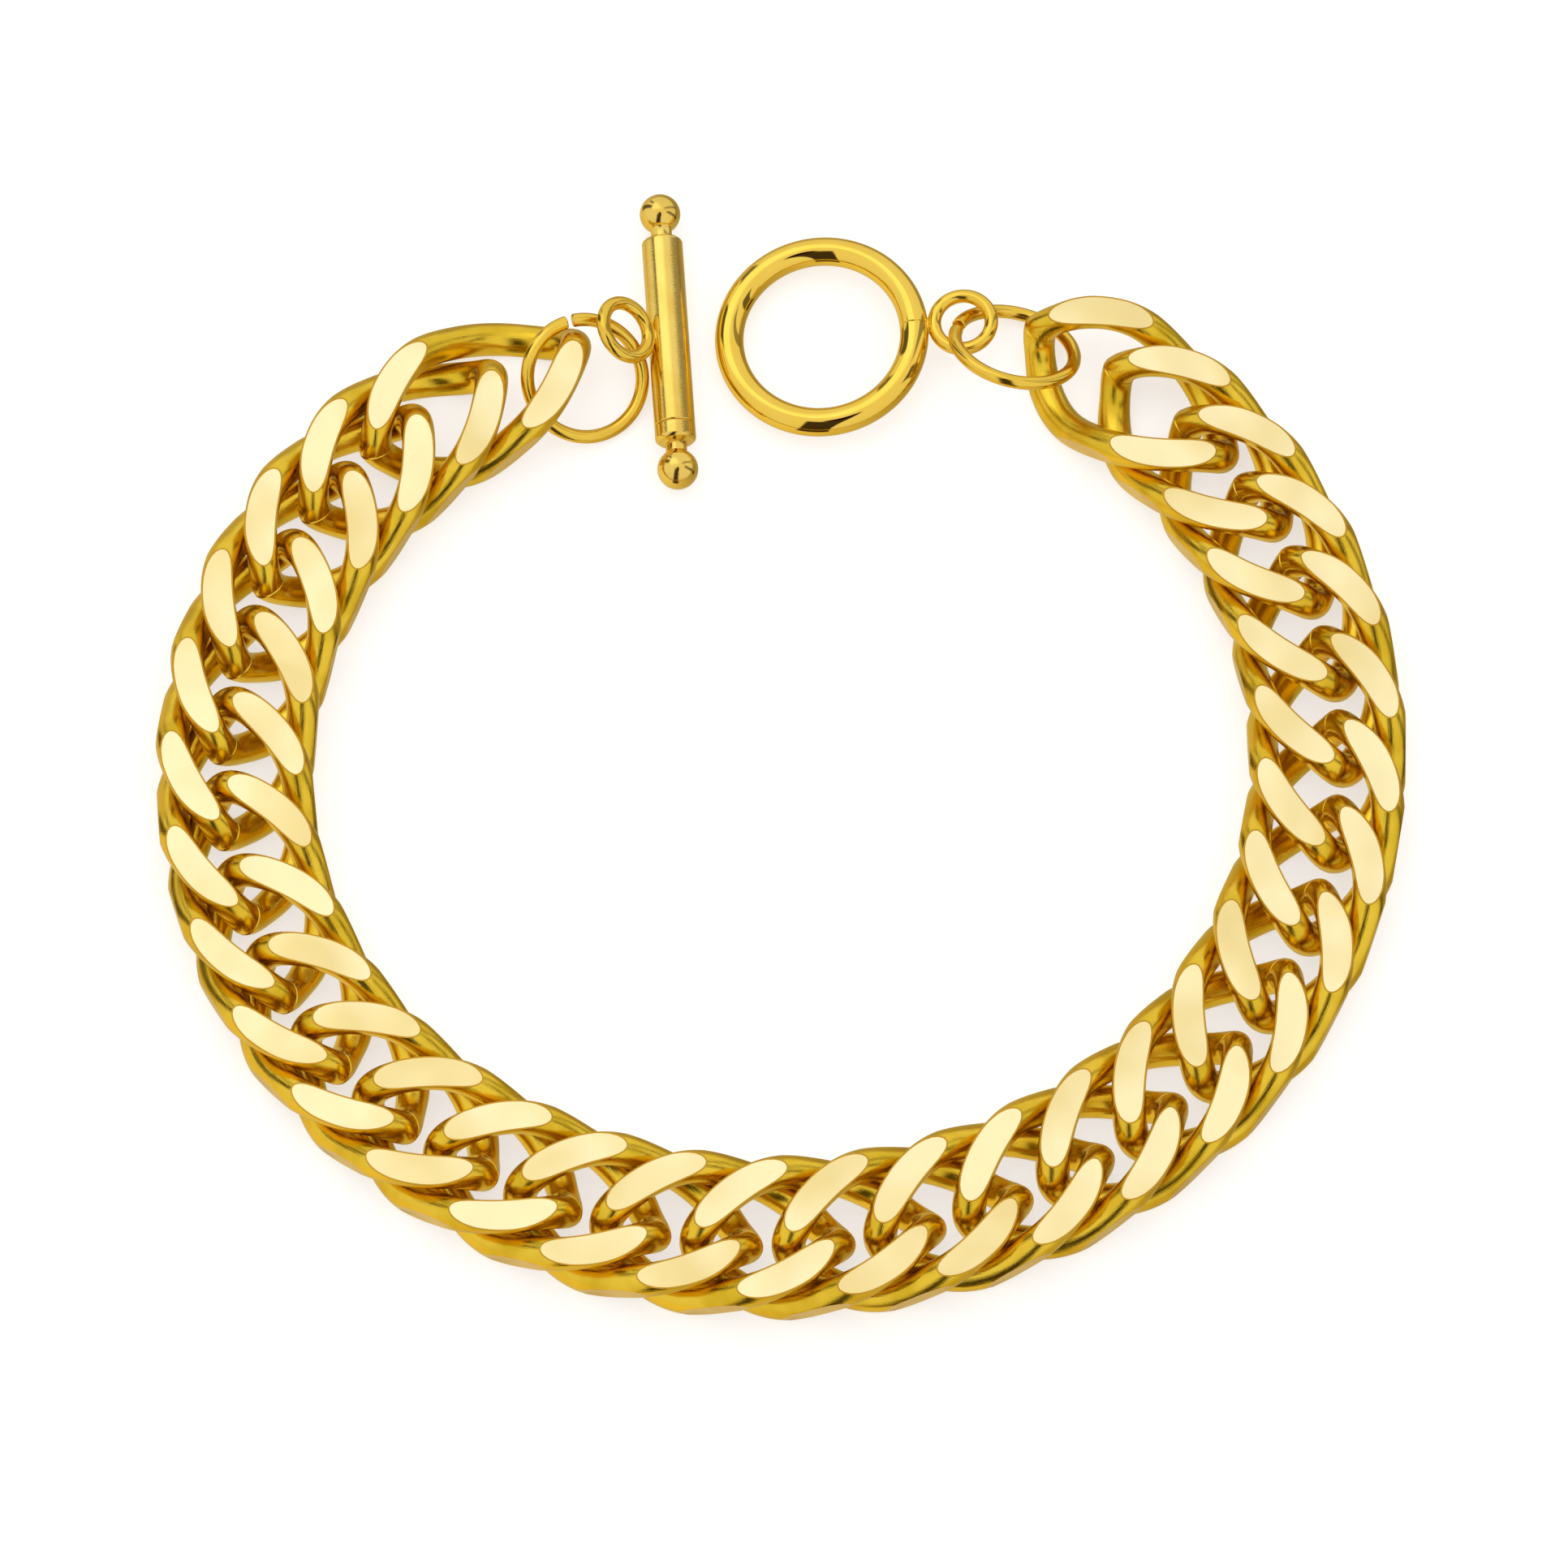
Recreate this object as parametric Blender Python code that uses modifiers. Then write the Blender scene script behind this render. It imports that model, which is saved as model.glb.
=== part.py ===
"""Double curb chain with a toggle clasp, lying flat in an almost closed loop.

Every link hooks the link two places on and lets the link between them pass through. The chain
is a tree of hinges that starts at a link in the middle: each link hangs from an empty on the
upright axis that it turns about. The clasp pieces hang from empties on the wire they swing on.
"""
import math

import bmesh
import bpy
from mathutils import Euler, Matrix, Vector

MM = 0.001
NAME = "double_curb_chain"

# Chain links: a closed wire, bent to an oval, twisted, and ground flat on four sides.
WIRE_RADIUS = 1.15 * MM
CHAIN_THICKNESS = 4.2 * MM
CHAIN_WIDTH = 10.8 * MM
# Waves that add up to the wire's line: x along the chain, y across it, z up.
LENGTH_WAVES = {1: 7.35 * MM, 3: 0.58 * MM, 5: -0.08 * MM}
WIDTH_WAVES = {1: 4.39 * MM, 3: -0.28 * MM, 5: -0.20 * MM}
HEIGHT_WAVES = {2: -1.80 * MM, 4: -0.08 * MM}
LINK_STEPS = 18
GRIND_LENGTH = 30 * MM

# Lay: the same distance from link to link, and stretches that bend evenly to the left.
PITCH = 6.13 * MM
STRETCHES = ((10, 11.0), (9, 8.75), (10, 10.4))
ROOT_LINK = 15
ROOT_PLACE = (-4.017 * MM, -35.79 * MM)
ROOT_HEADING = -5.4

# Jump rings: open rings of thin wire. Places are in the frame of the link that carries them.
THIN_RADIUS = 0.475 * MM
JUMP_GAP = 0.35 * MM
LEFT_JUMP = {
    "radius": 4.10 * MM, "centre": (-7.34, 2.55, 2.06), "turn": 186.0, "tilt": -22.3, "gap_at": 72.0,
}
RIGHT_JUMP = {
    "radius": 4.25 * MM, "centre": (8.35, 2.39, 2.83), "turn": -163.5, "tilt": 33.7, "gap_at": 181.5,
}
JUMP_STEPS = 24
AXIS_STEP = 0.01  # how far apart, in radians, two points of the wire give its direction

# Eyes: small rings soldered to the bar and to the toggle ring.
EYE_RADIUS = 2.0 * MM
SOLDER_GAP = 0.12 * MM
EYE_STEPS = 16

# Toggle ring, in the frame of the last link. It leans up towards its eye.
RING_RADIUS = 6.5 * MM
RING_WIRE = 1.0 * MM
RING_CENTRE = (19.83, 9.56)
RING_TURN = -142.5
RING_LEAN = 5.2
RING_EYE_TURN = 4.2
RING_STEPS = 32

# Bar, in the frame of the first link: one turned piece, and a ball end pressed on its far end.
BAR_RADIUS = 1.43 * MM
BAR_CENTRE = (-13.94, 2.75)
BAR_TURN = 64.3
BAR_BODY = 15.4 * MM
BAR_CHAMFER = 0.22 * MM
COLLAR = 1.25 * MM
COLLAR_GAP = 0.12 * MM
NECK_RADIUS = 0.78 * MM
BALL_RADIUS = 1.43 * MM
BALL_REACH = 9.73 * MM
BAR_EYE_LIFT = 39.5
BALL_STEPS = 9
TURNED_STEPS = 16

# Meshes: points round a wire, a finer count for cutting tools, welding and smooth shading.
WIRE_SIDES = 8
TOOL_STEPS = 48
TOOL_SIDES = 16
WELD = 0.01 * MM
SHARP_ANGLE = 35
HINGE_SIZE = 3 * MM

# Finish of each piece: base colour and roughness.
GOLD = {
    "link": ((0.83, 0.61, 0.20), 0.12),
    "jump": ((0.80, 0.58, 0.17), 0.16),
    "toggle": ((0.82, 0.59, 0.15), 0.08),
    "bar": ((0.78, 0.57, 0.20), 0.15),
}


def clear_scene():
    """Remove what the opened scene holds."""
    for obj in list(bpy.data.objects):
        bpy.data.objects.remove(obj, do_unlink=True)


def collection(name):
    """Return a new collection that is linked to the scene."""
    made = bpy.data.collections.new(name)
    bpy.context.scene.collection.children.link(made)
    return made


def gold(name):
    """Return a polished gold-plate material."""
    color, roughness = GOLD[name]
    made = bpy.data.materials.new("gold_" + name)
    made.use_nodes = True
    shader = made.node_tree.nodes["Principled BSDF"]
    shader.inputs["Base Color"].default_value = (*color, 1.0)
    shader.inputs["Metallic"].default_value = 1.0
    shader.inputs["Roughness"].default_value = roughness
    return made


def wave_sum(waves, shape, t):
    """Add up waves of the given shape, keyed by how often each repeats round the link."""
    return sum(size * shape(times * t) for times, size in waves.items())


def link_point(t):
    """Return the wire's centre at t, from 0 to 2 pi round the link."""
    return Vector((
        wave_sum(LENGTH_WAVES, math.cos, t),
        wave_sum(WIDTH_WAVES, math.sin, t),
        wave_sum(HEIGHT_WAVES, math.sin, t),
    ))


def ring_point(radius, t):
    """Return a point of a circle about the origin in the XY plane."""
    return Vector((radius * math.cos(t), radius * math.sin(t), 0.0))


def wire_mesh(name, points, radius, closed):
    """Return the mesh of a round wire along the points, its caps welded to it."""
    curve = bpy.data.curves.new(name, "CURVE")
    curve.dimensions = "3D"
    curve.twist_mode = "Z_UP"
    curve.bevel_depth = radius
    curve.bevel_resolution = WIRE_SIDES // 2 - 2
    curve.use_fill_caps = True
    spline = curve.splines.new("POLY")
    spline.points.add(len(points) - 1)
    for knot, point in zip(spline.points, points):
        knot.co = (*point, 1.0)
    spline.use_cyclic_u = closed
    return baked(bpy.data.objects.new(name, curve), name)


def baked(obj, name):
    """Return the evaluated mesh of an object as data of its own, and remove the object."""
    bpy.context.scene.collection.objects.link(obj)
    obj.data.name = name + "_rough"
    seen = obj.evaluated_get(bpy.context.evaluated_depsgraph_get())
    mesh = bpy.data.meshes.new_from_object(seen)
    mesh.name = name
    bpy.data.objects.remove(obj, do_unlink=True)
    form = bmesh.new()
    form.from_mesh(mesh)
    bmesh.ops.remove_doubles(form, verts=form.verts, dist=WELD)
    bmesh.ops.recalc_face_normals(form, faces=form.faces)
    form.to_mesh(mesh)
    form.free()
    return mesh


def cut_mesh(mesh, cutter, operation):
    """Return the mesh after one Boolean with the cutter."""
    obj = bpy.data.objects.new(mesh.name, mesh)
    cut = obj.modifiers.new("cut", "BOOLEAN")
    cut.operation = operation
    cut.solver = "EXACT"
    cut.object = cutter
    return baked(obj, mesh.name)


def as_cutter(obj, cutters):
    """Keep an object as a tool that is not part of the chain."""
    obj.hide_render = True
    obj.display_type = "WIRE"
    for home in list(obj.users_collection):
        home.objects.unlink(obj)
    cutters.objects.link(obj)
    return obj


def box_cutter(name, size, cutters):
    """Return a box about the origin."""
    bpy.ops.mesh.primitive_cube_add(size=1.0)
    box = bpy.context.object
    box.name = name
    box.data.transform(Matrix.Diagonal((*size, 1.0)))
    return as_cutter(box, cutters)


def torus_mesh(name, radius, wire, around, across=WIRE_SIDES):
    """Return a closed wire ring about the origin in the XY plane."""
    bpy.ops.mesh.primitive_torus_add(
        major_radius=radius, minor_radius=wire, major_segments=around, minor_segments=across)
    ring = bpy.context.object
    mesh = ring.data
    mesh.name = name
    bpy.data.objects.remove(ring, do_unlink=True)
    return mesh


def turned_mesh(name, profile):
    """Return a solid of revolution about Z from (radius, height) points that run downwards."""
    mesh = bpy.data.meshes.new(name + "_profile")
    points = [(radius, 0.0, height) for radius, height in profile]
    mesh.from_pydata(points, [(n, n + 1) for n in range(len(points) - 1)], [])
    obj = bpy.data.objects.new(name, mesh)
    screw = obj.modifiers.new("turn", "SCREW")
    screw.steps = TURNED_STEPS
    screw.render_steps = TURNED_STEPS
    screw.use_merge_vertices = True
    screw.merge_threshold = WELD
    return baked(obj, name)


def put(name, mesh, material, parts, parent=None, matrix=None):
    """Add a named piece, smooth except at its sharp edges, at a matrix in its parent's frame."""
    obj = bpy.data.objects.new(name, mesh)
    if not mesh.materials:
        mesh.materials.append(material)
        mesh.shade_smooth()
        mesh.set_sharp_from_angle(angle=math.radians(SHARP_ANGLE))
    parts.objects.link(obj)
    obj.parent = parent
    obj.matrix_local = matrix or Matrix.Identity(4)
    return obj


def hinge(name, parts, parent, matrix):
    """Add an empty whose local Z is the axis that its children turn about."""
    empty = bpy.data.objects.new(name, None)
    empty.empty_display_size = HINGE_SIZE
    parts.objects.link(empty)
    empty.parent = parent
    empty.matrix_local = matrix
    return empty


def turned(angle, place=(0.0, 0.0, 0.0)):
    """Return a turn about Z, in degrees, at a place."""
    return Matrix.Translation(place) @ Matrix.Rotation(math.radians(angle), 4, "Z")


def bends():
    """Return the bend in degrees after each link, from link 1 on."""
    return [bend for count, bend in STRETCHES for _ in range(count)]


def link_mesh(cutters):
    """Return the one mesh that all links share: a twisted wire ring, ground on four sides."""
    points = [link_point(2 * math.pi * n / LINK_STEPS) for n in range(LINK_STEPS)]
    rough = wire_mesh("link", points, WIRE_RADIUS, True)
    size = (GRIND_LENGTH, CHAIN_WIDTH, CHAIN_THICKNESS)
    return cut_mesh(rough, box_cutter("grinding_box", size, cutters), "INTERSECT")


def step_matrices(bend, way):
    """Return the hinge in a link's frame and the next link in the hinge's frame.

    way is 1 towards the last link and -1 towards the first.
    """
    half = way * bend / 2
    reach = way * PITCH / 2
    at = Matrix.Rotation(math.radians(half), 4, "Z") @ Vector((reach, 0.0, 0.0))
    return turned(half, at), turned(half, (reach, 0.0, 0.0))


def build_chain(parts, cutters):
    """Add all links, from the middle link out to both ends. Return them by number."""
    mesh = link_mesh(cutters)
    material = gold("link")
    turns = bends()
    place = (*ROOT_PLACE, CHAIN_THICKNESS / 2)
    links = {ROOT_LINK: put(f"link_{ROOT_LINK:02d}", mesh, material, parts,
                            matrix=turned(ROOT_HEADING, place))}
    onward = [(n, n + 1, turns[n - 1], 1) for n in range(ROOT_LINK, len(turns) + 1)]
    back = [(n, n - 1, turns[n - 2], -1) for n in range(ROOT_LINK, 1, -1)]
    for here, there, bend, way in onward + back:
        at_hinge, at_link = step_matrices(bend, way)
        axis = hinge(f"hinge_link_{there:02d}", parts, links[here], at_hinge)
        links[there] = put(f"link_{there:02d}", mesh, material, parts, axis, at_link)
    return links


def in_link(centre, turn):
    """Return a placement in a link's frame. Heights count from the surface, in millimetres."""
    x, y, z = centre
    return turned(turn, (x * MM, y * MM, z * MM - CHAIN_THICKNESS / 2))


def axis_matrix(point, direction):
    """Return a frame at a point whose Z runs along a direction."""
    return Matrix.Translation(point) @ direction.to_track_quat("Z", "Y").to_matrix().to_4x4()


def link_end_axis(end):
    """Return the frame on the wire at one end of a link, 1 or -1, with Z along the wire."""
    t = 0.0 if end > 0 else math.pi
    return axis_matrix(link_point(t), link_point(t + AXIS_STEP) - link_point(t - AXIS_STEP))


def jump_matrix(ring):
    """Return where a jump ring lies in its link's frame: turned, then tilted about its own X."""
    tilt = Matrix.Rotation(math.radians(-ring["tilt"]), 4, "X")
    return in_link(ring["centre"], ring["turn"]) @ tilt


def build_jump(name, ring, link, end, material, parts):
    """Add an open jump ring that swings on one end of a link."""
    gap = JUMP_GAP / ring["radius"]
    first = math.radians(ring["gap_at"]) + gap / 2
    sweep = 2 * math.pi - gap
    turns = [first + sweep * n / JUMP_STEPS for n in range(JUMP_STEPS + 1)]
    points = [ring_point(ring["radius"], t) for t in turns]
    mesh = wire_mesh(name, points, THIN_RADIUS, False)
    at_hinge = link_end_axis(end)
    axis = hinge("hinge_" + name, parts, link, at_hinge)
    return put(name, mesh, material, parts, axis, at_hinge.inverted() @ jump_matrix(ring))


def wire_frame_near(ring, ring_matrix, target):
    """Return the frame on a ring's wire at its point nearest to a target, Z along the wire."""
    local = ring_matrix.inverted() @ target
    t = math.atan2(local.y, local.x)
    along = ring_point(1.0, t + math.pi / 2)
    return ring_matrix @ axis_matrix(ring_point(ring["radius"], t), along)


def eye_mesh(name, matrix, cutter):
    """Return a small wire ring, hollowed where it is soldered. matrix puts it in the cutter's frame."""
    mesh = torus_mesh(name, EYE_RADIUS, THIN_RADIUS, EYE_STEPS)
    mesh.transform(matrix)
    return cut_mesh(mesh, cutter, "DIFFERENCE")


def build_toggle_ring(link, jump, material, parts, cutters):
    """Add the toggle ring and the eye soldered to its side, on the right jump ring."""
    lean = math.radians(RING_LEAN)
    x, y = RING_CENTRE
    height = (RING_WIRE + RING_RADIUS * math.sin(lean)) / MM
    at_ring = in_link((x, y, height), RING_TURN) @ Matrix.Rotation(-lean, 4, "Y")
    reach = RING_RADIUS + RING_WIRE + THIN_RADIUS + EYE_RADIUS
    at_eye = Matrix.Rotation(math.radians(RING_EYE_TURN), 4, "Z") @ Matrix.Translation((reach, 0, 0))
    at_hinge = wire_frame_near(RIGHT_JUMP, jump_matrix(RIGHT_JUMP), (at_ring @ at_eye).translation)
    at_hinge = jump_matrix(RIGHT_JUMP).inverted() @ at_hinge
    axis = hinge("hinge_toggle_ring", parts, jump, at_hinge)
    matrix = at_hinge.inverted() @ jump_matrix(RIGHT_JUMP).inverted() @ at_ring
    seat = torus_mesh(
        "solder_seat_ring", RING_RADIUS, RING_WIRE + SOLDER_GAP, TOOL_STEPS, TOOL_SIDES)
    cutter = as_cutter(bpy.data.objects.new("solder_seat_ring", seat), cutters)
    ring = torus_mesh("toggle_ring", RING_RADIUS, RING_WIRE, RING_STEPS)
    put("toggle_ring", ring, material, parts, axis, matrix)
    put("ring_eye", eye_mesh("ring_eye", at_eye, cutter), material, parts, axis, matrix)


def arc(centre, radius, start, stop, count):
    """Return (radius, height) points of an arc; angles in degrees from the turning axis' side."""
    steps = [math.radians(start + (stop - start) * n / (count - 1)) for n in range(count)]
    return [(radius * math.cos(angle), centre + radius * math.sin(angle)) for angle in steps]


def ball_end():
    """Return the profile of the upper ball, from its tip down to its neck."""
    meet = math.degrees(math.acos(NECK_RADIUS / BALL_RADIUS))
    tip, *ball = arc(BALL_REACH, BALL_RADIUS, 90, -meet, BALL_STEPS)
    return [(0.0, tip[1]), *ball]


def bar_profiles():
    """Return the profiles of the bar with its upper ball, and of the pressed-on lower end."""
    top = BAR_BODY / 2
    seat = -top + COLLAR
    shoulder = [(NECK_RADIUS, top), (BAR_RADIUS - BAR_CHAMFER, top), (BAR_RADIUS, top - BAR_CHAMFER)]
    bar = [*ball_end(), *shoulder, (BAR_RADIUS, seat), (0.0, seat)]
    lower_ball = [(radius, -height) for radius, height in reversed(ball_end())]
    collar = [(0.0, seat - COLLAR_GAP), (BAR_RADIUS, seat - COLLAR_GAP)]
    foot = [(radius, -height) for radius, height in reversed(shoulder)]
    return bar, [*collar, *foot, *lower_ball]


def build_bar(link, jump, material, parts, cutters):
    """Add the bar, its pressed-on end and the eye soldered to its middle, on the left jump ring."""
    x, y = BAR_CENTRE
    upright = in_link((x, y, BAR_RADIUS / MM), BAR_TURN)
    at_bar = upright @ Matrix.Rotation(math.radians(-90), 4, "Y")
    lift = Matrix.Rotation(math.radians(-BAR_EYE_LIFT), 4, "X")
    reach = BAR_RADIUS + THIN_RADIUS + EYE_RADIUS
    at_eye = lift @ Matrix.Translation((0.0, -reach, 0.0))
    at_hinge = wire_frame_near(LEFT_JUMP, jump_matrix(LEFT_JUMP), (upright @ at_eye).translation)
    at_hinge = jump_matrix(LEFT_JUMP).inverted() @ at_hinge
    axis = hinge("hinge_toggle_bar", parts, jump, at_hinge)
    to_axis = at_hinge.inverted() @ jump_matrix(LEFT_JUMP).inverted()
    bar, end = bar_profiles()
    put("toggle_bar", turned_mesh("toggle_bar", bar), material, parts, axis, to_axis @ at_bar)
    put("bar_end", turned_mesh("bar_end", end), material, parts, axis, to_axis @ at_bar)
    bpy.ops.mesh.primitive_cylinder_add(
        vertices=TOOL_STEPS, radius=BAR_RADIUS + SOLDER_GAP, depth=BAR_BODY,
        rotation=Euler((0, math.pi / 2, 0)))
    seat = bpy.context.object
    seat.name = "solder_seat_bar"
    eye = eye_mesh("bar_eye", at_eye, as_cutter(seat, cutters))
    put("bar_eye", eye, material, parts, axis, to_axis @ upright)


def main():
    """Build the chain and its clasp."""
    clear_scene()
    parts = collection(NAME)
    cutters = collection("cutters")
    links = build_chain(parts, cutters)
    first, last = links[1], links[len(links)]
    jump_gold = gold("jump")
    left = build_jump("left_jump_ring", LEFT_JUMP, first, -1, jump_gold, parts)
    right = build_jump("right_jump_ring", RIGHT_JUMP, last, 1, jump_gold, parts)
    build_toggle_ring(last, right, gold("toggle"), parts, cutters)
    build_bar(first, left, gold("bar"), parts, cutters)
    bpy.context.view_layer.update()


main()
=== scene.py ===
import math

import bmesh
import bpy
from mathutils import Matrix, Vector


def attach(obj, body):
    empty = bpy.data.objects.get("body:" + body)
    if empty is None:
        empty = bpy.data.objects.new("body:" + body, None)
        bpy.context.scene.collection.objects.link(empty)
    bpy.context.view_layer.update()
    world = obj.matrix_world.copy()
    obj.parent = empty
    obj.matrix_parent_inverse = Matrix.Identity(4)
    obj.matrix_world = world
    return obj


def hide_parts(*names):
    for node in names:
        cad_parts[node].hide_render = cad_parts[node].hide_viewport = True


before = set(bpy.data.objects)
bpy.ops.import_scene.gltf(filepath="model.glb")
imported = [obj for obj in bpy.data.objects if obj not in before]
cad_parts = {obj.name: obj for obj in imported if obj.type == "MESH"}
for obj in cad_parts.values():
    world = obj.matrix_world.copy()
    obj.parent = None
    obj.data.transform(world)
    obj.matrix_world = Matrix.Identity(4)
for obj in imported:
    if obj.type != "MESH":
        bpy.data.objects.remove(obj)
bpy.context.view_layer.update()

MM = 0.001

# Lengths are in millimetres and angles in degrees, unless a comment says otherwise.

# ---- Chain: the same line, pitch and lay as the frame's links.
THICKNESS = 4.2
WIDTH = 10.8
LENGTH_WAVES = {1: 7.35, 3: 0.58, 5: -0.08}
WIDTH_WAVES = {1: 4.39, 3: -0.28, 5: -0.20}
HEIGHT_WAVES = {2: -1.80, 4: -0.08}
PITCH = 6.13
STRETCHES = ((10, 11.0), (9, 8.75), (10, 10.4))  # (hinges, bend at each of them), from link 1
LAST_LINK = 1 + sum(count for count, bend in STRETCHES)
ROOT_LINK = 15
ROOT_PLACE = (-4.017, -35.79)
ROOT_HEADING = -5.4

# ---- A link's wire, and the seam and the kink where its cut ends meet.
LINK_WIRE = 1.16
LINK_AROUND = 176
LINK_SIDES = 28
SEAM_HALF = 0.035
SEAM_DEPTH = 0.09
SEAM_PACE = 2.55  # millimetres across the link in a radian of its line, at the seam
SEAM_CLEAR = 1.5  # half seams to each side with none of the even points
KINK_RISE = 0.10
KINK_SLOPE = 1.55  # millimetres in a radian of the line
KINK_FADE = (0.22, 0.72)  # radians of the line
KINK_POWER = 1.3

# ---- A link's ground flats: level up to TIP_START, sloping beyond it, in a paler gold that is a painted highlight, with a darker rim of painted shade.
TIP_START = 8.10
TIP_END = 12.0
TIP_FALL = 0.24  # drop for each millimetre along the link
RIM = 0.11
CREASE = 0.8 * RIM  # how near TIP_START the middle of a rim face along the crease lies
LEAST_FLAT = 0.05  # square millimetres, below which a ground face has no rim
EDGE_WIDTH = 0.06
EDGE_SEGMENTS = 2
EDGE_ANGLE = 18.0
WELD = 0.012  # nearer points become one
SLIVER = 0.004  # shorter edges go
# The edge slot holds a dark brown gold: painted shade along the edges and the rims of the flats.
# The flats' slot holds a paler gold: a painted highlight.
FLAT_HIGHLIGHT_SLOT, SIDE_SLOT, EDGE_SHADE_SLOT = 1, 2, 3  # material slots of a link, after slot 0, its wire

# ---- Jump rings: centre and turn in their link's frame, and lift of the two ends out of the plane.
JUMPS = {
    "left": {"link": 1, "radius": 4.10, "centre": (-7.34, 2.55, 2.06), "turn": 186.0, "tilt": -22.3,
             "gap_at": 72.0, "lift": 0.16},
    "right": {"link": LAST_LINK, "radius": 4.25, "centre": (8.35, 2.39, 2.83), "turn": -163.5, "tilt": 33.7,
              "gap_at": 181.5, "lift": 0.10},
}
THIN = 0.475
THIN_SIDES = 20
JUMP_STEPS = 112
JUMP_GAP = 0.35
JUMP_CHAMFER = 0.07
CHAMFER_RUN = 0.9  # for each millimetre of chamfer
LIFT_FROM = 0.86  # share of the way round at which an end starts to lift
JUMP_SHARP = 32
CAP_UV_STEP = 0.02  # along, between the corners of a wire's cut end

# ---- Eyes of the bar and the ring, each with a bead of solder.
EYE_RADIUS = 2.0
EYE_STEPS = 80
EYE_SUNK = 0.05
BEAD_OUT = 0.02
BEAD_THICK, BEAD_WIDE, BEAD_HIGH = 0.22, 0.62, 0.42

# ---- Toggle ring.
RING_RADIUS = 6.5
RING_WIRE = 1.0
RING_STEPS = 192
RING_SIDES = 40
RING_CENTRE = (19.83, 9.56)
RING_TURN = -142.5
RING_LEAN = 5.2
RING_EYE_TURN = 4.2
RING_SEAM = 0.05  # both the depth and the half width
RING_SEAM_CLEAR = 1.6  # half seams to each side with none of the even points
RING_SEAM_TURN = 1.0  # from the eye
RING_SHARP = 40

# ---- Toggle bar: a turned body, a collar, and a neck and a ball at both ends.
BAR_RADIUS = 1.43
BAR_CENTRE = (-13.94, 2.75)
BAR_TURN = 64.3
BAR_BODY = 15.4
BAR_CHAMFER = 0.06
BAR_LAND = 0.10  # from a cut end to the first of the body's even rings
BAR_RINGS = 6
BAR_STEPS = 96
BAR_SHARP = 50
BAR_UV_RADIUS = 1.4
TIP_UV = (0, 0.1, 0.2)  # around, for the three corners of each face at a ball's tip or a cut end
COLLAR = 1.25
COLLAR_GAP = 0.03
SHOULDER = ((0.24, 0.0), (0.20, 0.015), (0.05, 0.15), (0.0, 0.26), (0.0, 0.30))  # (inwards, down)
SHOULDER_DEEP = SHOULDER[-1][1]
NECK_RADIUS = 0.78
NECK_WAIST = 0.04
NECK_FILLET = 0.10
BALL_RADIUS = 1.43
BALL_REACH = 9.73
BALL_START = 88
BALL_STEPS = 26
BAR_EYE_LIFT = 39.5

# ---- Gold: where in a noise's range each change happens, and how deep each relief is.
PATCH_RANGE = (0.42, 0.64)
CLOUD_RANGE = (0.3, 0.7)
MARKS_RANGE = (0.35, 0.7)
MARKS_DEEP, WAVES_DEEP, PITS_DEEP = 0.03, 0.25, 0.02
PITS_SCALE = 6000.0  # for each metre

# ---- Studio: the world's light by direction. Azimuth 0 is +Y and 90 is +X.
TENT_COLOUR = (1.0, 0.985, 0.95, 1)
TABLE_COLOUR = (1.0, 0.86, 0.50, 1)
DUSK = (0.022, 0.004, 0.003, 1)
# From one height to another, as sines of the elevation, the light grows by the last number.
TENT_FOOT = (-0.15, 0.02, 0.86)
TENT_ROOF = (0.10, 0.95, 0.06)
TABLE = (0.0, 0.15, 0.64)  # downwards
TABLE_SIDE = (240, 0)  # (azimuth, elevation) of the table's brighter side
TABLE_LEAN = 0.50
# (azimuth, elevation, radius, softness, level) of the brighter cloths and of the dark spot.
GLOWS = ((318, 52, 16, 10, 0.40), (350, 73, 7, 8, 0.26))
SHADES = ((180, 72, 8, 1.5, 1.0),)
# (azimuth, lowest and highest elevation, half width, level) of the dark gaps in the tent.
SLITS = (
    (190, -22, 68, 12, 0.96),
    (62, -8, 62, 5, 0.65),
    (96, -24, 50, 6, 0.85),
    (302, -28, 38, 8, 0.88),
    (326, 0, 32, 4, 0.75),
)
SLIT_SOFT = 0.02  # softness of a gap's sides, as a sine
SLIT_END = 0.04  # softness of a gap's ends, as a sine
SLIT_AHEAD = (0.05, 0.15)  # cosines that keep a gap on its own side of the tent

# ---- Floor and camera.
FLOOR_HALF = 0.9  # metres
FLOOR_DROP = 0.02
FLOOR_COLOUR = (0.61, 0.61, 0.615, 1)
FLOOR_GLOW = (1, 0.995, 0.985, 1)
FLOOR_GLOW_STRENGTH = 0.64
FLOOR_ROUGH = 0.55
FLOOR_SHINE = 0.2
CAMERA_LENS = 233.1
CAMERA_SENSOR = 36.0
CAMERA_RISE = 69.0
CAMERA_AIM = (0.186, -2.371, 0)
CAMERA_DISTANCE = 0.7  # metres
CAMERA_NEAR, CAMERA_FAR = 0.05, 5.0  # metres


# ---------------------------------------------------------------- placement and pieces
def rot(angle, axis="Z"):
    return Matrix.Rotation(math.radians(angle), 4, axis)


def at(x, y, z=0.0):
    return Matrix.Translation((x * MM, y * MM, z * MM))


def link_matrices():
    """Each link's place: from the root link outwards, half a bend, a pitch and half a bend at a time."""
    turns = [bend for count, bend in STRETCHES for _ in range(count)]
    placed = {ROOT_LINK: at(*ROOT_PLACE, THICKNESS / 2) @ rot(ROOT_HEADING)}
    steps = [(n, n + 1, turns[n - 1], 1) for n in range(ROOT_LINK, LAST_LINK)]
    steps += [(n, n - 1, turns[n - 2], -1) for n in range(ROOT_LINK, 1, -1)]
    for here, there, bend, way in steps:
        half = rot(way * bend / 2)
        reach = at(way * PITCH / 2, 0)
        placed[there] = placed[here] @ half @ reach @ reach @ half
    return placed


LINKS = link_matrices()


def in_link(number, centre, turn):
    """A place above the ground in a link's frame, turned about the upright."""
    x, y, z = centre
    return LINKS[number] @ at(x, y, z - THICKNESS / 2) @ rot(turn)


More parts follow.
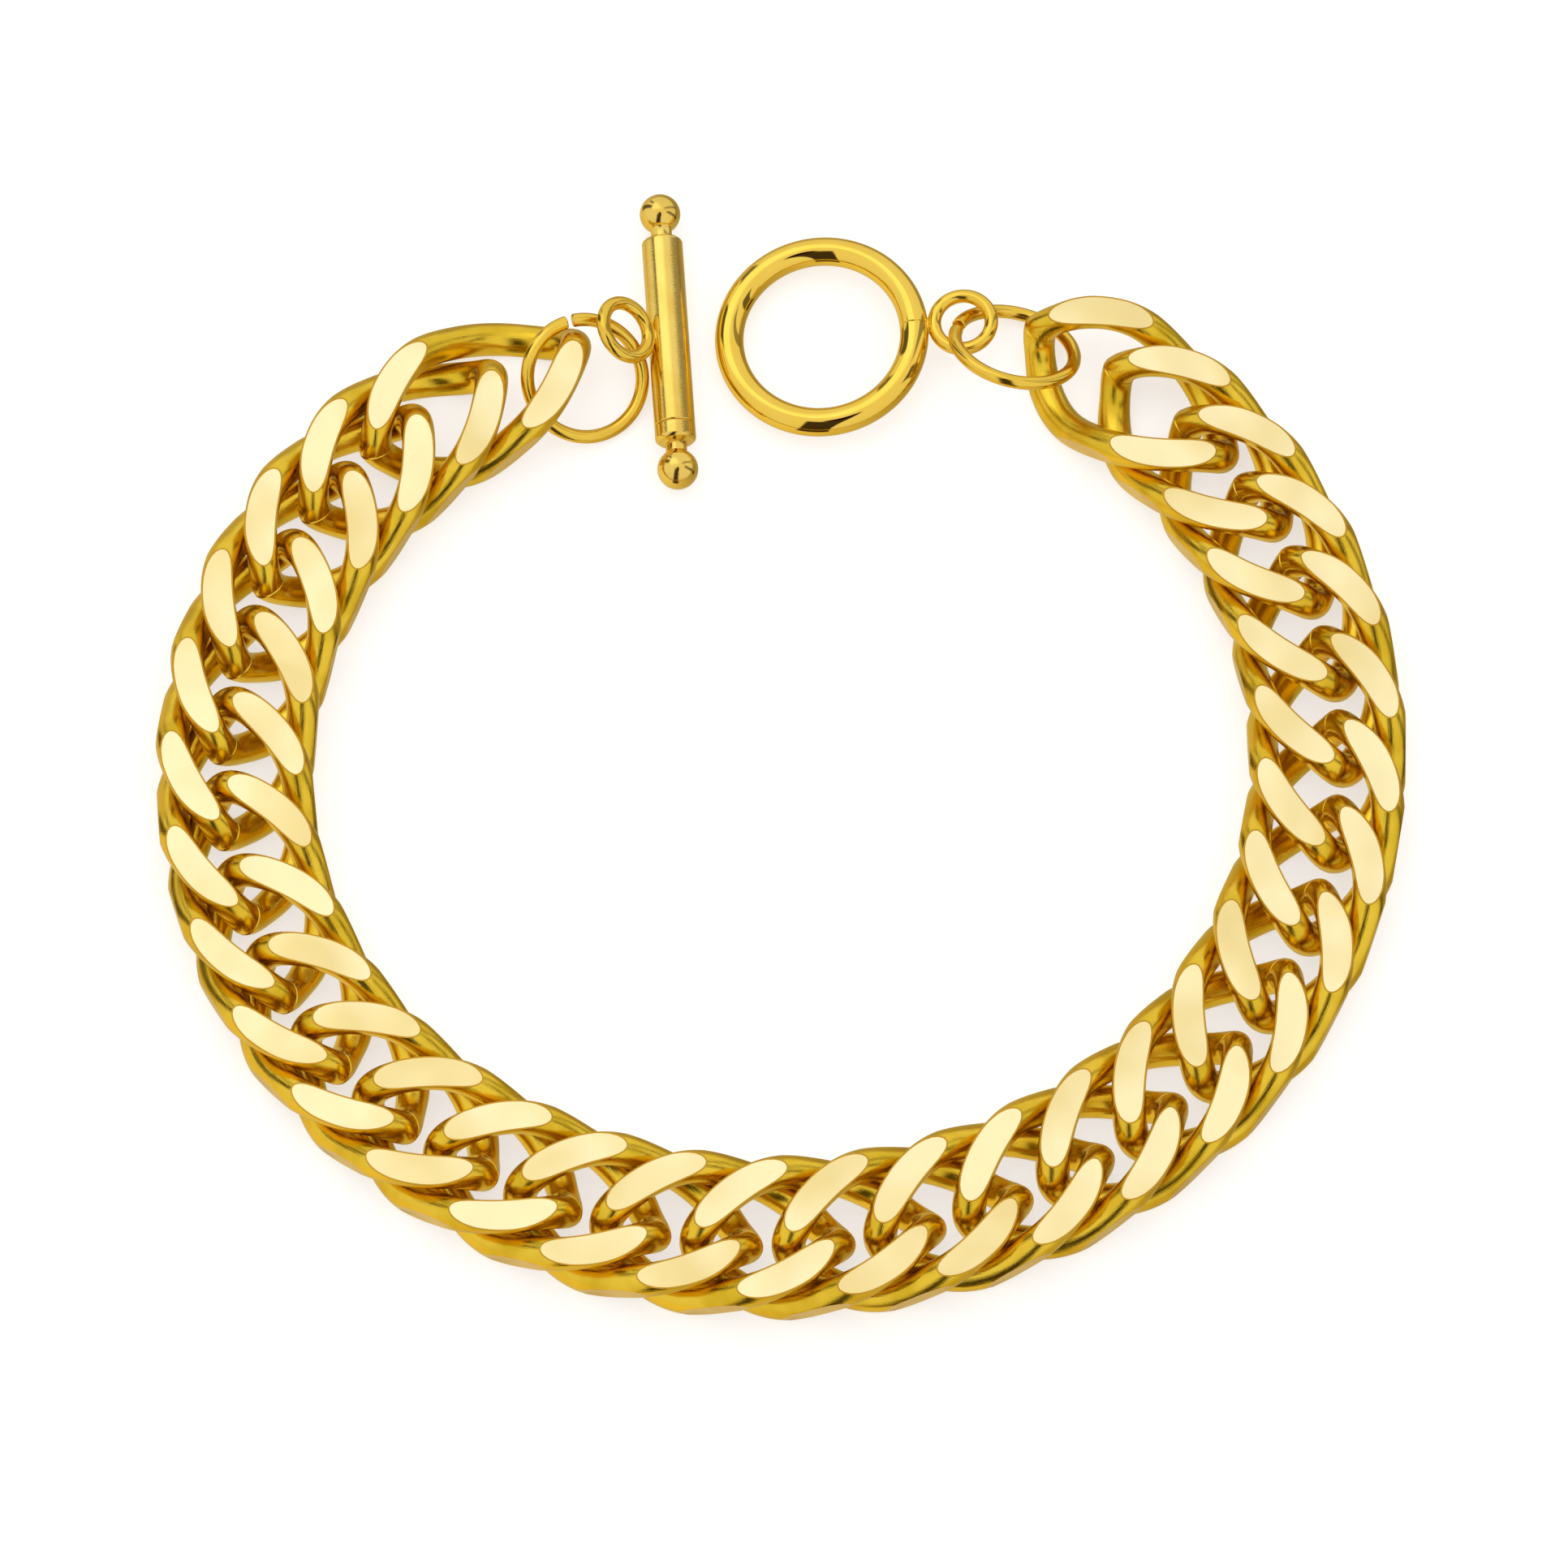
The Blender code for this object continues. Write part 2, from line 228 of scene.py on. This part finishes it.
def new_object(name, data):
    obj = bpy.data.objects.new(name, data)
    bpy.context.scene.collection.objects.link(obj)
    return obj


def piece(name, mesh, matrix, body, nodes):
    """A visible piece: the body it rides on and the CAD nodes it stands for."""
    obj = new_object(name, mesh)
    obj.matrix_world = matrix
    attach(obj, body)
    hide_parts(*nodes)


# ---------------------------------------------------------------- meshes
def smooth(low, high, x):
    x = min(1.0, max(0.0, (x - low) / (high - low)))
    return x * x * (3 - 2 * x)


def circle_point(radius, a, z=0.0):
    return Vector((radius * math.cos(a), radius * math.sin(a), z))


def circle_direction(a):
    return Vector((-math.sin(a), math.cos(a), 0))


def uv_mesh(name, verts, faces, uvs):
    """A mesh with its faces turned outwards, and the UV map that the golds' marks follow."""
    mesh = bpy.data.meshes.new(name)
    mesh.from_pydata(verts, [], faces)
    layer = mesh.uv_layers.new(name="wire")
    for loop, uv in enumerate(uv for corners in uvs for uv in corners):
        layer.data[loop].uv = uv
    form = bmesh.new()
    form.from_mesh(mesh)
    bmesh.ops.recalc_face_normals(form, faces=form.faces)
    form.to_mesh(mesh)
    form.free()
    return mesh


def tube(name, points, directions, radii, sides, closed, shift=None):
    """A wire mesh in millimetres turned to metres, with a UV map of (along, around) in millimetres."""
    rings = len(points)
    verts, along = [], [0.0]
    for n, (p, d, r) in enumerate(zip(points, directions, radii)):
        if n:
            along.append(along[-1] + (p - points[n - 1]).length)
        side = d.cross(Vector((0, 0, 1))).normalized()
        up = side.cross(d).normalized()
        for k in range(sides):
            a = 2 * math.pi * k / sides
            out = side * math.cos(a) + up * math.sin(a)
            v = p + out * r
            if shift:
                v = v + shift(n, out)
            verts.append(v * MM)
    total = along[-1] + (points[0] - points[-1]).length
    around = [2 * math.pi * max(radii) * k / sides for k in range(sides + 1)]
    faces, uvs = [], []
    for n in range(rings if closed else rings - 1):
        m = (n + 1) % rings
        u0, u1 = along[n], (total if closed and m == 0 else along[m])
        for k in range(sides):
            j = (k + 1) % sides
            faces.append((n * sides + k, m * sides + k, m * sides + j, n * sides + j))
            uvs.append(((u0, around[k]), (u1, around[k]), (u1, around[k + 1]), (u0, around[k + 1])))
    if not closed:
        faces.append(tuple(range(sides))[::-1])
        faces.append(tuple((rings - 1) * sides + k for k in range(sides)))
        cap = tuple((CAP_UV_STEP * k, 0.0) for k in range(sides))
        uvs += [cap, cap]
    return uv_mesh(name, verts, faces, uvs)


def dressed(mesh, material, sharp=None):
    """Shades a mesh smooth, but not across edges sharper than the angle where one is given."""
    mesh.materials.append(material)
    mesh.shade_smooth()
    if sharp:
        mesh.set_sharp_from_angle(angle=math.radians(sharp))
    return mesh


def applied(obj, mesh_name):
    """The object's mesh with its modifiers applied. The object is removed."""
    graph = bpy.context.evaluated_depsgraph_get()
    evaluated = obj.evaluated_get(graph)
    mesh = bpy.data.meshes.new_from_object(evaluated, preserve_all_data_layers=True, depsgraph=graph)
    mesh.name = mesh_name
    bpy.data.objects.remove(obj, do_unlink=True)
    return mesh


def convex(name, points):
    """The convex solid around points in millimetres."""
    mesh = bpy.data.meshes.new(name)
    form = bmesh.new()
    for p in points:
        form.verts.new([c * MM for c in p])
    bmesh.ops.convex_hull(form, input=form.verts)
    bmesh.ops.dissolve_limit(form, angle_limit=0.001, verts=form.verts, edges=form.edges)
    form.to_mesh(mesh)
    form.free()
    return new_object(name, mesh)


def common(obj, cutter, name):
    """What two objects have in common, as a mesh. Both objects are removed."""
    cut = obj.modifiers.new("cut", "BOOLEAN")
    cut.operation = "INTERSECT"
    cut.solver = "EXACT"
    cut.object = cutter
    mesh = applied(obj, name)
    bpy.data.objects.remove(cutter, do_unlink=True)
    return mesh


def softened(mesh, name):
    """Rounds the sharp edges by a hair, so that each catches a line of light; the roundings get the dark
    edge gold, a painted shade line.
    """
    form = bmesh.new()
    form.from_mesh(mesh)
    bmesh.ops.remove_doubles(form, verts=form.verts, dist=WELD * MM)
    bmesh.ops.dissolve_degenerate(form, edges=form.edges, dist=SLIVER * MM)
    form.to_mesh(mesh)
    form.free()
    mesh.shade_smooth()
    obj = new_object(name, mesh)
    bevel = obj.modifiers.new("edges", "BEVEL")
    bevel.width = EDGE_WIDTH * MM
    bevel.segments = EDGE_SEGMENTS
    bevel.limit_method = "ANGLE"
    bevel.angle_limit = math.radians(EDGE_ANGLE)
    bevel.harden_normals = True
    bevel.use_clamp_overlap = True
    # The roundings get the dark edge gold: painted shade along every edge.
    bevel.material = EDGE_SHADE_SLOT
    return applied(obj, name)


# ---------------------------------------------------------------- materials
def ranged(tree, value, start, stop, low, high, kind="LINEAR"):
    """Maps a value from start..stop to low..high."""
    n = tree.nodes.new("ShaderNodeMapRange")
    n.interpolation_type = kind
    tree.links.new(value, n.inputs["Value"])
    for key, x in zip(("From Min", "From Max", "To Min", "To Max"), (start, stop, low, high)):
        n.inputs[key].default_value = x
    return n.outputs["Result"]


def math_node(tree, kind, *terms):
    """One step of arithmetic. Each term is a number or another node's output."""
    n = tree.nodes.new("ShaderNodeMath")
    n.operation = kind
    for socket, term in zip(n.inputs, terms):
        if isinstance(term, (int, float)):
            socket.default_value = term
        else:
            tree.links.new(term, socket)
    return n.outputs["Value"]


def noise(tree, vector, scale, detail, roughness):
    n = tree.nodes.new("ShaderNodeTexNoise")
    tree.links.new(vector, n.inputs["Vector"])
    for key, x in (("Scale", scale), ("Detail", detail), ("Roughness", roughness)):
        n.inputs[key].default_value = x
    return n.outputs["Fac"]


def gold(name, base, deep, rough, spread, pits, grain=0.0, grain_scale=(0.4, 9.0), wave=0.0,
         patch=0.5, slow_scale=320.0):
    """Polished gold plate: slow colour and polish changes, fine marks along the wire and small pits.

    base and deep are its two colours and patch is the most that deep covers. rough and spread are the
    middle and the range of its roughness. grain, wave and pits are the strengths of its reliefs.
    grain_scale counts marks for each millimetre along and around, and slow_scale changes for each metre.
    """
    made = bpy.data.materials.new(name)
    made.use_nodes = True
    tree = made.node_tree
    shader = tree.nodes["Principled BSDF"]
    shader.inputs["Metallic"].default_value = 1.0
    uv = tree.nodes.new("ShaderNodeUVMap")
    uv.uv_map = "wire"
    where = tree.nodes.new("ShaderNodeTexCoord")
    stretched = tree.nodes.new("ShaderNodeMapping")
    stretched.inputs["Scale"].default_value = (*grain_scale, 1.0)
    tree.links.new(uv.outputs["UV"], stretched.inputs["Vector"])
    info = tree.nodes.new("ShaderNodeObjectInfo")
    apart = tree.nodes.new("ShaderNodeVectorMath")
    apart.operation = "ADD"
    tree.links.new(where.outputs["Object"], apart.inputs[0])
    tree.links.new(info.outputs["Random"], apart.inputs[1])
    marks = noise(tree, stretched.outputs["Vector"], 1.0, 4.0, 0.6)
    slow = noise(tree, apart.outputs["Vector"], slow_scale, 2.0, 0.55)
    fine = noise(tree, where.outputs["Object"], PITS_SCALE, 2.0, 0.7)

    mix = tree.nodes.new("ShaderNodeMix")
    mix.data_type = "RGBA"
    mix.inputs["A"].default_value = (*base, 1)
    mix.inputs["B"].default_value = (*deep, 1)
    tree.links.new(ranged(tree, slow, *PATCH_RANGE, 0.0, patch), mix.inputs["Factor"])
    tree.links.new(mix.outputs["Result"], shader.inputs["Base Color"])

    cloudy = ranged(tree, slow, *CLOUD_RANGE, rough - spread / 2, rough + spread / 2)
    brushed = ranged(tree, marks, *MARKS_RANGE, -spread / 3, spread / 2)
    polish = math_node(tree, "ADD", cloudy, brushed)
    polish.node.use_clamp = True
    tree.links.new(polish, shader.inputs["Roughness"])

    last = None
    reliefs = ((marks, grain, MARKS_DEEP), (slow, wave, WAVES_DEEP), (fine, pits, PITS_DEEP))
    for height, strength, depth in reliefs:
        if not strength:
            continue
        bump = tree.nodes.new("ShaderNodeBump")
        bump.inputs["Strength"].default_value = strength
        bump.inputs["Distance"].default_value = depth * MM
        tree.links.new(height, bump.inputs["Height"])
        if last:
            tree.links.new(last, bump.inputs["Normal"])
        last = bump.outputs["Normal"]
    tree.links.new(last, shader.inputs["Normal"])
    return made


WIRE = gold("gold_wire", (0.87, 0.60, 0.05), (0.69, 0.46, 0.02), 0.18, 0.10, 0.2,
            grain=0.45, wave=0.07, patch=0.8)
# Painted highlight: the flats' gold is a paler copy of the wire's gold, standing in for the bright light
# that the ground flats reflect.
FLAT_HIGHLIGHT_GOLD = gold("gold_flat_painted_highlight", (0.92, 0.81, 0.47), (0.82, 0.67, 0.29), 0.24, 0.08, 0.05,
            grain=0.14, grain_scale=(6.0, 0.4), wave=1.0, patch=0.9, slow_scale=110.0)
# Painted shade: a dark brown gold for the edge roundings and the rims of the flats, standing in for the dark
# lines that the edges show.
EDGE_SHADE_GOLD = gold("gold_edge_painted_shade", (0.50, 0.28, 0.03), (0.42, 0.22, 0.02), 0.14, 0.05, 0.1)
SIDE = gold("gold_side", (0.90, 0.68, 0.27), (0.76, 0.52, 0.15), 0.28, 0.10, 0.3, grain=0.30)
RING = gold("gold_ring", (0.91, 0.64, 0.10), (0.87, 0.58, 0.07), 0.025, 0.015, 0.02, wave=0.03)
THIN_GOLD = gold("gold_thin", (0.88, 0.60, 0.08), (0.76, 0.48, 0.05), 0.13, 0.06, 0.1, grain=0.3, wave=0.2)
BAR = gold("gold_bar", (0.91, 0.67, 0.16), (0.78, 0.52, 0.08), 0.10, 0.05, 0.2,
           grain=0.15, grain_scale=(14.0, 0.5))


# ---------------------------------------------------------------- links
def wave_sum(waves, shape, t):
    return sum(size * shape(times * t) for times, size in waves.items())


def link_point(t):
    return Vector((
        wave_sum(LENGTH_WAVES, math.cos, t),
        wave_sum(WIDTH_WAVES, math.sin, t),
        wave_sum(HEIGHT_WAVES, math.sin, t),
    ))


def link_direction(t):
    step = 0.002
    return (link_point(t + step) - link_point(t - step)).normalized()


def link_tube():
    seam = SEAM_HALF / SEAM_PACE
    clear = SEAM_CLEAR * seam
    even = [2 * math.pi * n / LINK_AROUND for n in range(LINK_AROUND)]
    ts = [-seam, 0.0, seam] + [t for t in even if clear < t < 2 * math.pi - clear]
    radii = [LINK_WIRE] * len(ts)
    radii[1] = LINK_WIRE - SEAM_DEPTH

    def kink(n, out):
        """The cut ends meet at an angle: outside, the wire falls away straight on both sides of the seam."""
        away = abs(ts[n] if ts[n] < math.pi else ts[n] - 2 * math.pi)
        fall = -KINK_RISE + KINK_SLOPE * away
        fade = 1 - smooth(*KINK_FADE, away)
        return Vector((-fall * fade * max(0.0, out.x) ** KINK_POWER, 0, 0))

    points = [link_point(t) for t in ts]
    directions = [link_direction(t) for t in ts]
    return tube("link", points, directions, radii, LINK_SIDES, True, kink)


def grinding():
    """What the grinding leaves: the room between the two faces, their sloping ends and the two sides."""
    half_w, half_t = WIDTH / 2, THICKNESS / 2
    end_t = half_t - TIP_FALL * (TIP_END - TIP_START)
    return convex("grinding", [
        (x, y, z)
        for way in (-1, 1)
        for y in (-half_w, half_w)
        for x, top in ((way * TIP_START, half_t), (way * TIP_END, end_t))
        for z in (top, -top)
    ])


def assign_link_materials(mesh):
    """The ground faces, level and sloping, get the flats' gold, painted paler as a highlight, and the ground
    sides get their own.
    """
    near, slack, straight = 0.012, 0.02, 0.998
    slope = math.cos(math.atan(TIP_FALL)) - 0.003
    top, edge = (THICKNESS / 2 - near) * MM, (WIDTH / 2 - near) * MM
    for face in mesh.polygons:
        x, y, z = (abs(c) for c in face.center)
        across, upward = abs(face.normal.y), abs(face.normal.z)
        tip_top = (THICKNESS / 2 - TIP_FALL * (x / MM - TIP_START) - slack) * MM
        if (upward > straight and z > top) or (upward > slope and z > tip_top):
            # These faces get the paler gold of the painted highlight.
            face.material_index = FLAT_HIGHLIGHT_SLOT
        elif across > straight and y > edge:
            face.material_index = SIDE_SLOT


def rim_flats_in_painted_shade(mesh):
    """A darker rim of painted shade just inside the edge of every ground flat, but not along the crease
    before its tip.
    """
    form = bmesh.new()
    form.from_mesh(mesh)
    least = LEAST_FLAT * MM * MM
    flats = [f for f in form.faces if f.material_index == FLAT_HIGHLIGHT_SLOT and f.calc_area() > least]
    inset = bmesh.ops.inset_individual(form, faces=flats, thickness=RIM * MM, use_even_offset=True)
    for face in inset["faces"]:
        if abs(abs(face.calc_center_median().x) - TIP_START * MM) > CREASE * MM:
            # The rim faces get the dark edge gold: painted shade.
            face.material_index = EDGE_SHADE_SLOT
    form.to_mesh(mesh)
    form.free()


def link_mesh():
    mesh = common(new_object("link", link_tube()), grinding(), "link")
    mesh.materials.clear()
    for material in (WIRE, FLAT_HIGHLIGHT_GOLD, SIDE, EDGE_SHADE_GOLD):
        mesh.materials.append(material)
    assign_link_materials(mesh)
    rim_flats_in_painted_shade(mesh)
    return softened(mesh, "link")


def build_links():
    mesh = link_mesh()
    for number, matrix in LINKS.items():
        name = f"link_{number:02d}"
        piece(name + "_gold", mesh, matrix, name, [name])


# ---------------------------------------------------------------- rings
def open_ring(name, radius, wire, start, sweep, lift):
    """An open ring of wire. lift is how far the two ends stand out of the plane, in opposite ways."""
    points, directions = [], []
    for n in range(JUMP_STEPS + 1):
        share = n / JUMP_STEPS
        a = math.radians(start) + math.radians(sweep) * share
        out = lift * (smooth(LIFT_FROM, 1.0, share) - smooth(LIFT_FROM, 1.0, 1 - share))
        points.append(circle_point(radius, a, out))
        directions.append(circle_direction(a))
    radii = [wire] * len(points)
    for end, inner, place in ((0, 1, 1), (-1, -2, -1)):
        radii[end] = wire - JUMP_CHAMFER
        move = (points[inner] - points[end]).normalized() * JUMP_CHAMFER * CHAMFER_RUN
        points.insert(place, points[end] + move)
        directions.insert(place, directions[end])
        radii.insert(place, wire)
    return tube(name, points, directions, radii, THIN_SIDES, False)


def closed_ring(name, radius, wire, steps, sides, seam_at=None):
    """A closed ring of wire, with a fine groove across the wire at seam_at, where that is given."""
    turn = 2 * math.pi
    angles = [turn * n / steps for n in range(steps)]
    seam = None
    if seam_at is not None:
        seam = math.radians(seam_at) % turn
        half = RING_SEAM / radius
        clear = RING_SEAM_CLEAR * half
        kept = [a for a in angles if abs((a - seam + math.pi) % turn - math.pi) > clear]
        angles = sorted([*kept, seam - half, seam, seam + half])
    points = [circle_point(radius, a) for a in angles]
    directions = [circle_direction(a) for a in angles]
    radii = [wire - (RING_SEAM if a == seam else 0.0) for a in angles]
    return tube(name, points, directions, radii, sides, True)


def solder(mesh, place, size):
    """Adds a small flattened bead of solder to a mesh."""
    form = bmesh.new()
    form.from_mesh(mesh)
    bead = bmesh.ops.create_icosphere(form, subdivisions=3, radius=1.0)
    scale = Matrix.Diagonal((*[s * MM for s in size], 1.0))
    bmesh.ops.transform(form, matrix=at(*place) @ scale, verts=bead["verts"])
    form.to_mesh(mesh)
    form.free()


def eye_mesh(name, bead_at, bead_size, place):
    """A closed thin ring with its bead of solder, moved to its place."""
    eye = closed_ring(name, EYE_RADIUS, THIN, EYE_STEPS, THIN_SIDES)
    solder(eye, bead_at, bead_size)
    eye.transform(place)
    return dressed(eye, THIN_GOLD)


def build_jumps():
    for side, ring in JUMPS.items():
        radius = ring["radius"]
        gap = math.degrees(JUMP_GAP / radius)
        mesh = open_ring(side + "_jump", radius, THIN, ring["gap_at"] + gap / 2, 360 - gap, ring["lift"])
        dressed(mesh, THIN_GOLD, JUMP_SHARP)
        matrix = in_link(ring["link"], ring["centre"], ring["turn"]) @ rot(-ring["tilt"], "X")
        name = side + "_jump_ring"
        piece(name + "_wire", mesh, matrix, name, [name])


def build_ring():
    height = RING_WIRE + RING_RADIUS * math.sin(math.radians(RING_LEAN))
    matrix = in_link(LAST_LINK, (*RING_CENTRE, height), RING_TURN) @ rot(-RING_LEAN, "Y")
    seam_at = RING_EYE_TURN + RING_SEAM_TURN
    mesh = closed_ring("toggle_ring", RING_RADIUS, RING_WIRE, RING_STEPS, RING_SIDES, seam_at)
    dressed(mesh, RING, RING_SHARP)
    piece("toggle_ring_wire", mesh, matrix, "toggle_ring", ["toggle_ring"])
    reach = RING_RADIUS + RING_WIRE + THIN + EYE_RADIUS - EYE_SUNK
    place = rot(RING_EYE_TURN) @ at(reach, 0)
    bead_at = (-EYE_RADIUS - THIN + BEAD_OUT, 0, 0)
    eye = eye_mesh("ring_eye", bead_at, (BEAD_THICK, BEAD_WIDE, BEAD_HIGH), place)
    piece("ring_eye_wire", eye, matrix, "toggle_ring", ["ring_eye"])


# ---------------------------------------------------------------- toggle bar
def turned(name, profile):
    """A turned solid about Z from (radius, height) points in millimetres, downwards."""
    rings = [(r, z) for r, z in profile if r > 1e-6]
    angles = [2 * math.pi * k / BAR_STEPS for k in range(BAR_STEPS)]
    verts = [circle_point(r, a, z) * MM for r, z in rings for a in angles]
    around = [2 * math.pi * BAR_UV_RADIUS * k / BAR_STEPS for k in range(BAR_STEPS + 1)]
    run = [0.0]
    for (r0, z0), (r1, z1) in zip(rings, rings[1:]):
        run.append(run[-1] + math.hypot(r1 - r0, z1 - z0))
    faces, uvs = [], []
    for n in range(len(rings) - 1):
        u0, u1 = run[n], run[n + 1]
        for k in range(BAR_STEPS):
            j = (k + 1) % BAR_STEPS
            upper, lower = n * BAR_STEPS, (n + 1) * BAR_STEPS
            faces.append((upper + k, lower + k, lower + j, upper + j))
            uvs.append(((u0, around[k]), (u1, around[k]), (u1, around[k + 1]), (u0, around[k + 1])))
    for n, (_, height) in ((0, profile[0]), (len(rings) - 1, profile[-1])):
        tip = len(verts)
        verts.append(Vector((0, 0, height)) * MM)
        for k in range(BAR_STEPS):
            j = (k + 1) % BAR_STEPS
            faces.append((tip, n * BAR_STEPS + k, n * BAR_STEPS + j))
            uvs.append(tuple((run[n], v) for v in TIP_UV))
    return uv_mesh(name, verts, faces, uvs)


def arc(centre, radius, start, stop, count):
    """Points of (radius, height) on a circle about a height on the axis."""
    steps = [math.radians(start + (stop - start) * n / (count - 1)) for n in range(count)]
    return [(radius * math.cos(a), centre + radius * math.sin(a)) for a in steps]


def bar_profiles():
    """The outlines, downwards, of the bar with its upper ball, and of the collar with the lower one."""
    top = BAR_BODY / 2
    meet = math.degrees(math.acos(NECK_RADIUS / BALL_RADIUS))
    ball = arc(BALL_REACH, BALL_RADIUS, BALL_START, -meet, BALL_STEPS)
    ball_low = BALL_REACH - BALL_RADIUS * math.sin(math.radians(meet))
    waist = NECK_RADIUS - NECK_WAIST
    neck = [(waist, ball_low - NECK_FILLET), (waist, top + NECK_FILLET), (NECK_RADIUS + NECK_FILLET, top)]
    shoulder = [(BAR_RADIUS - inwards, top - down) for inwards, down in SHOULDER]
    knob = [(0.0, BALL_REACH + BALL_RADIUS), *ball, *neck, *shoulder]
    seat = -top + COLLAR
    length = 2 * top - SHOULDER_DEEP - COLLAR - BAR_LAND
    body = [(BAR_RADIUS, top - SHOULDER_DEEP - length * n / BAR_RINGS) for n in range(1, BAR_RINGS + 1)]
    foot = [(BAR_RADIUS, seat + BAR_CHAMFER), (BAR_RADIUS - BAR_CHAMFER, seat), (0.0, seat)]
    joint = seat - COLLAR_GAP
    collar = [(0.0, joint), (BAR_RADIUS - BAR_CHAMFER, joint),
              (BAR_RADIUS, joint - BAR_CHAMFER), (BAR_RADIUS, joint - BAR_LAND)]
    return [*knob, *body, *foot], [*collar, *[(r, -z) for r, z in reversed(knob)]]


def build_bar():
    upright = in_link(1, (*BAR_CENTRE, BAR_RADIUS), BAR_TURN)
    matrix = upright @ rot(-90, "Y")
    for name, profile in zip(("toggle_bar", "bar_end"), bar_profiles()):
        mesh = dressed(turned(name, profile), BAR, BAR_SHARP)
        piece(name + "_gold", mesh, matrix, "toggle_bar", [name])
    reach = BAR_RADIUS + THIN + EYE_RADIUS - EYE_SUNK
    place = rot(-BAR_EYE_LIFT, "X") @ at(0, -reach)
    bead_at = (0, EYE_RADIUS + THIN - BEAD_OUT, 0)
    eye = eye_mesh("bar_eye", bead_at, (BEAD_WIDE, BEAD_THICK, BEAD_HIGH), place)
    piece("bar_eye_wire", eye, upright, "toggle_bar", ["bar_eye"])


# ---------------------------------------------------------------- studio
def floor():
    mesh = bpy.data.meshes.new("floor")
    corners = [(x * FLOOR_HALF, y * FLOOR_HALF, 0) for x, y in ((-1, -1), (1, -1), (1, 1), (-1, 1))]
    mesh.from_pydata(corners, [], [(0, 1, 2, 3)])
    obj = new_object("floor", mesh)
    obj.location.z = -FLOOR_DROP * MM
    made = bpy.data.materials.new("floor")
    made.use_nodes = True
    shader = made.node_tree.nodes["Principled BSDF"]
    shader.inputs["Base Color"].default_value = FLOOR_COLOUR
    shader.inputs["Emission Color"].default_value = FLOOR_GLOW
    shader.inputs["Emission Strength"].default_value = FLOOR_GLOW_STRENGTH
    shader.inputs["Roughness"].default_value = FLOOR_ROUGH
    shader.inputs["Specular IOR Level"].default_value = FLOOR_SHINE
    mesh.materials.append(made)
    obj.visible_glossy = False


def sky():
    """A bright tent of light over a warm table, with the dark gaps of a real studio."""
    world = bpy.data.worlds.new("studio")
    bpy.context.scene.world = world
    world.use_nodes = True
    tree = world.node_tree
    coord = tree.nodes.new("ShaderNodeTexCoord").outputs["Generated"]

    def toward(azimuth, elevation):
        """How far each direction looks this way, as a cosine."""
        a, e = math.radians(azimuth), math.radians(elevation)
        n = tree.nodes.new("ShaderNodeVectorMath")
        n.operation = "DOT_PRODUCT"
        tree.links.new(coord, n.inputs[0])
        n.inputs[1].default_value = (math.sin(a) * math.cos(e), math.cos(a) * math.cos(e), math.sin(e))
        return n.outputs["Value"]

    def band(value, low, high, level):
        return ranged(tree, value, low, high, 0.0, level, "SMOOTHSTEP")

    def less(value):
        return math_node(tree, "SUBTRACT", 1.0, value)

    def times(a, b):
        return math_node(tree, "MULTIPLY", a, b)

    def spot(azimuth, elevation, radius, soft, level):
        outer, inner = (math.cos(math.radians(max(0.0, r))) for r in (radius + soft, radius - soft))
        return band(toward(azimuth, elevation), outer, inner, level)

    def slit(azimuth, low, high, half_width, level):
        """An upright gap between two cloths of the tent, from one elevation to another."""
        edge, foot, head = (math.sin(math.radians(a)) for a in (half_width, low, high))
        aside = math_node(tree, "ABSOLUTE", toward(azimuth + 90, 0))
        within = less(band(aside, edge - SLIT_SOFT, edge + SLIT_SOFT, 1.0))
        ahead = band(toward(azimuth, 0), *SLIT_AHEAD, level)
        over = band(height, foot - SLIT_END, foot + SLIT_END, 1.0)
        under = less(band(height, head - SLIT_END, head + SLIT_END, 1.0))
        return times(times(times(within, ahead), over), under)

    height = toward(0, 90)
    above = math_node(tree, "ADD", band(height, *TENT_FOOT), band(height, *TENT_ROOF))
    for glow in GLOWS:
        above = math_node(tree, "ADD", above, spot(*glow))
    leaning = times(toward(*TABLE_SIDE), TABLE_LEAN)
    below = times(band(times(height, -1.0), *TABLE), math_node(tree, "ADD", leaning, 1.0))
    gaps = [slit(*values) for values in SLITS] + [spot(*values) for values in SHADES]
    open_part = less(gaps[0])
    for gap in gaps[1:]:
        open_part = times(open_part, less(gap))

    tent = tree.nodes["Background"]
    tent.inputs["Color"].default_value = TENT_COLOUR
    tree.links.new(times(above, open_part), tent.inputs["Strength"])
    warm = tree.nodes.new("ShaderNodeBackground")
    warm.inputs["Color"].default_value = TABLE_COLOUR
    tree.links.new(times(below, open_part), warm.inputs["Strength"])
    dusk = tree.nodes.new("ShaderNodeBackground")
    dusk.inputs["Color"].default_value = DUSK
    last = tent.outputs["Background"]
    for more in (warm, dusk):
        both = tree.nodes.new("ShaderNodeAddShader")
        tree.links.new(last, both.inputs[0])
        tree.links.new(more.outputs["Background"], both.inputs[1])
        last = both.outputs["Shader"]
    tree.links.new(last, tree.nodes["World Output"].inputs["Surface"])


def camera():
    data = bpy.data.cameras.new("camera")
    data.lens = CAMERA_LENS
    data.sensor_width = CAMERA_SENSOR
    data.clip_start, data.clip_end = CAMERA_NEAR, CAMERA_FAR
    obj = new_object("camera", data)
    e = math.radians(CAMERA_RISE)
    way = Vector((0, -math.cos(e), math.sin(e)))
    obj.location = Vector(CAMERA_AIM) * MM + way * CAMERA_DISTANCE
    obj.rotation_mode = "QUATERNION"
    obj.rotation_quaternion = way.to_track_quat("Z", "Y")
    bpy.context.scene.camera = obj


build_links()
build_jumps()
build_ring()
build_bar()
floor()
sky()
camera()
bpy.context.scene.view_settings.view_transform = "Standard"
